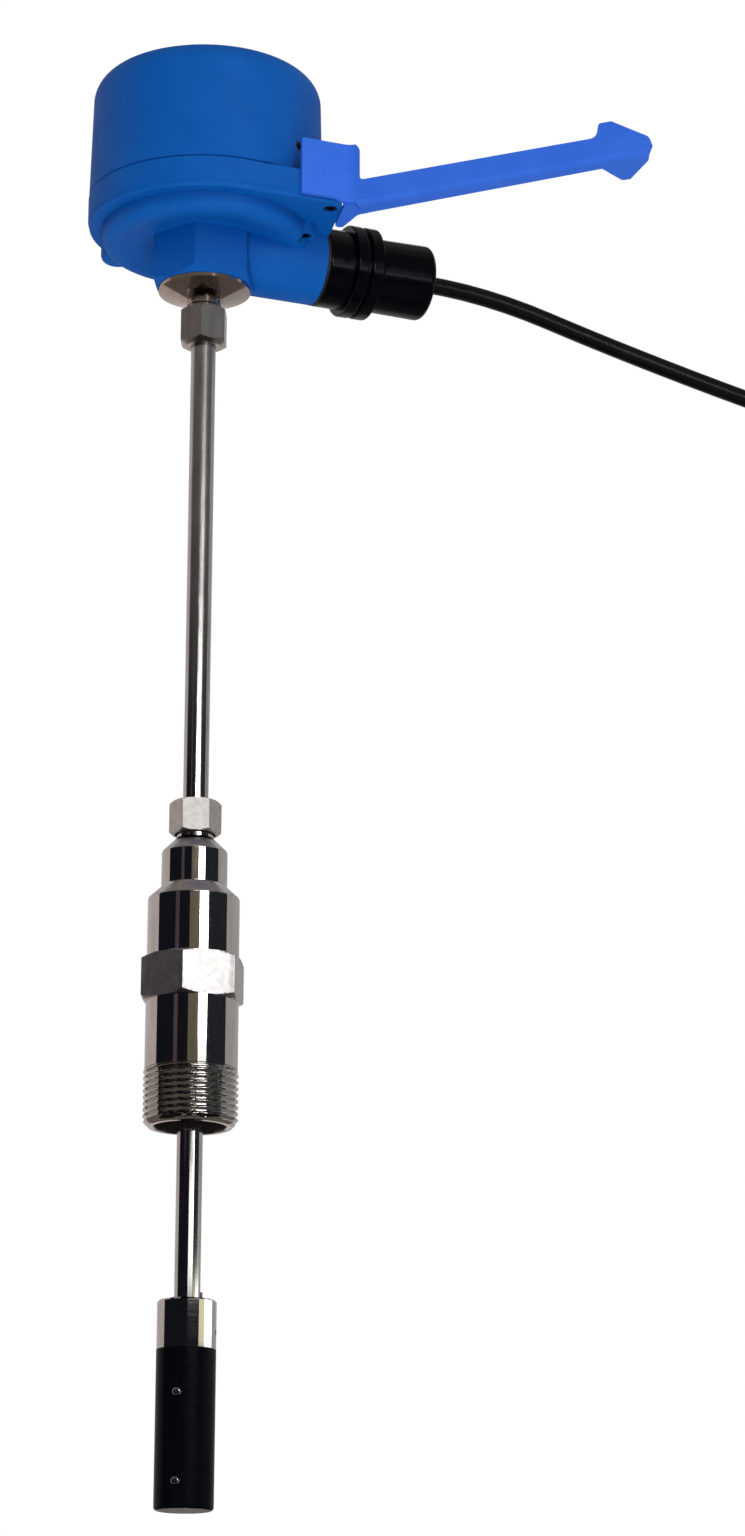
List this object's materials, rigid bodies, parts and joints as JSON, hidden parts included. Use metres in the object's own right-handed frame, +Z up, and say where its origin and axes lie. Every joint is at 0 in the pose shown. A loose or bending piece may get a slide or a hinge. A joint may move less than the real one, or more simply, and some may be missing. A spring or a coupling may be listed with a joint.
{
  "type": "insertion flow meter",
  "caption": "Insertion flow meter: blue round head with cable gland and flow arrow on a steel stem that slides in a hexagonal pipe fitting down to a black electrode probe.",
  "frame": {"origin": "on the process thread's axis, at the thread's upper end where it runs out into the plain shank", "axes": "+Z up the stem from the probe to the head, +X out along the cable gland, +Y to complete a right-handed frame; the flow arrow points along about -46 degrees in XY"},
  "size_m": [0.3755, 0.1716, 0.5246],
  "materials": {
    "stainless": "turned and polished",
    "housing_blue": "satin blue powder coat on die casting",
    "arrow_blue": "satin blue paint on folded sheet",
    "black_screws": "black oxide",
    "bright_screws": "zinc plated",
    "sensor_black": "satin moulded black",
    "gland_black": "satin moulded black",
    "seal_rubber": "matt",
    "bush_white": "matt",
    "core_iron": "bare soft iron",
    "coil_copper": "enamelled copper wire",
    "lead_sleeve": "sleeved wires",
    "board_green": "lacquered glass-fibre board",
    "terminal_grey": "moulded",
    "potting_black": "cast resin",
    "cable_jacket": "satin black jacket",
    "tie_black": "moulded strap"
  },
  "bodies": {
    "process_fitting": {"process_fitting": "stainless", "retaining_ring": "stainless"},
    "stem_bush": {"stem_bush": "bush_white", "bush_seal_low": "seal_rubber", "bush_seal_high": "seal_rubber"},
    "lock_ferrule": {"lock_ferrule": "stainless"},
    "lock_nut": {"lock_nut": "stainless"},
    "lid_seal": {"lid_seal": "seal_rubber"},
    "lid": {"lid": "housing_blue", "lid_lock_screw": "black_screws"},
    "stem": {"stem_rod": "stainless", "probe_collar": "stainless", "collar_pin": "stainless", "electrode_high": "stainless", "electrode_low": "stainless", "head_adaptor": "stainless", "head_ferrule": "stainless", "head_nut": "stainless", "housing_base": "housing_blue", "arrow_arm": "arrow_blue", "arm_screw": "black_screws", "arm_nut": "black_screws", "earth_screw": "black_screws", "collar_set_screw": "black_screws", "board_screw_1": "bright_screws", "board_screw_2": "bright_screws", "board_screw_3": "bright_screws", "board_screw_4": "bright_screws", "sensor_body": "sensor_black", "gland_body": "gland_black", "gland_nut": "gland_black", "gland_gasket": "seal_rubber", "gland_seal": "seal_rubber", "coil_core": "core_iron", "field_coil": "coil_copper", "lead_bundle": "lead_sleeve", "terminal_board": "board_green", "terminal_block": "terminal_grey", "signal_module": "potting_black", "cable_tail": "cable_jacket", "cable": "cable_jacket", "cable_coil": "cable_jacket", "coil_tie": "tie_black"}
  },
  "joints": [
    {"name": "stem_turn", "type": "hinge", "parent": "process_fitting", "child": "stem_bush", "pos_m": [0, 0, 0.06], "axis": [0, 0, 1], "range_deg": [-180, 180]},
    {"name": "stem_slide", "type": "slide", "parent": "stem_bush", "child": "stem", "axis": [0, 0, 1], "range_m": [-0.164, 0.133]},
    {"name": "ferrule_lift", "type": "slide", "parent": "process_fitting", "child": "lock_ferrule", "axis": [0, 0, 1], "range_m": [0, 0.0075]},
    {"name": "lock_nut_turn", "type": "hinge", "parent": "lock_ferrule", "child": "lock_nut", "pos_m": [0, 0, 0.091], "axis": [0, 0, 1], "range_deg": [0, 1800]},
    {"name": "lid_lift", "type": "slide", "parent": "stem", "child": "lid_seal", "axis": [0, 0, 1], "range_m": [0, 0.015]},
    {"name": "lid_turn", "type": "hinge", "parent": "lid_seal", "child": "lid", "pos_m": [0, 0, 0.335], "axis": [0, 0, 1], "range_deg": [0, 2160]}
  ],
  "couplings": [
    {"joint": "ferrule_lift", "follows": "lock_nut_turn", "m_per_rad": 0.00023873},
    {"joint": "lid_lift", "follows": "lid_turn", "m_per_rad": 0.00039788}
  ]
}
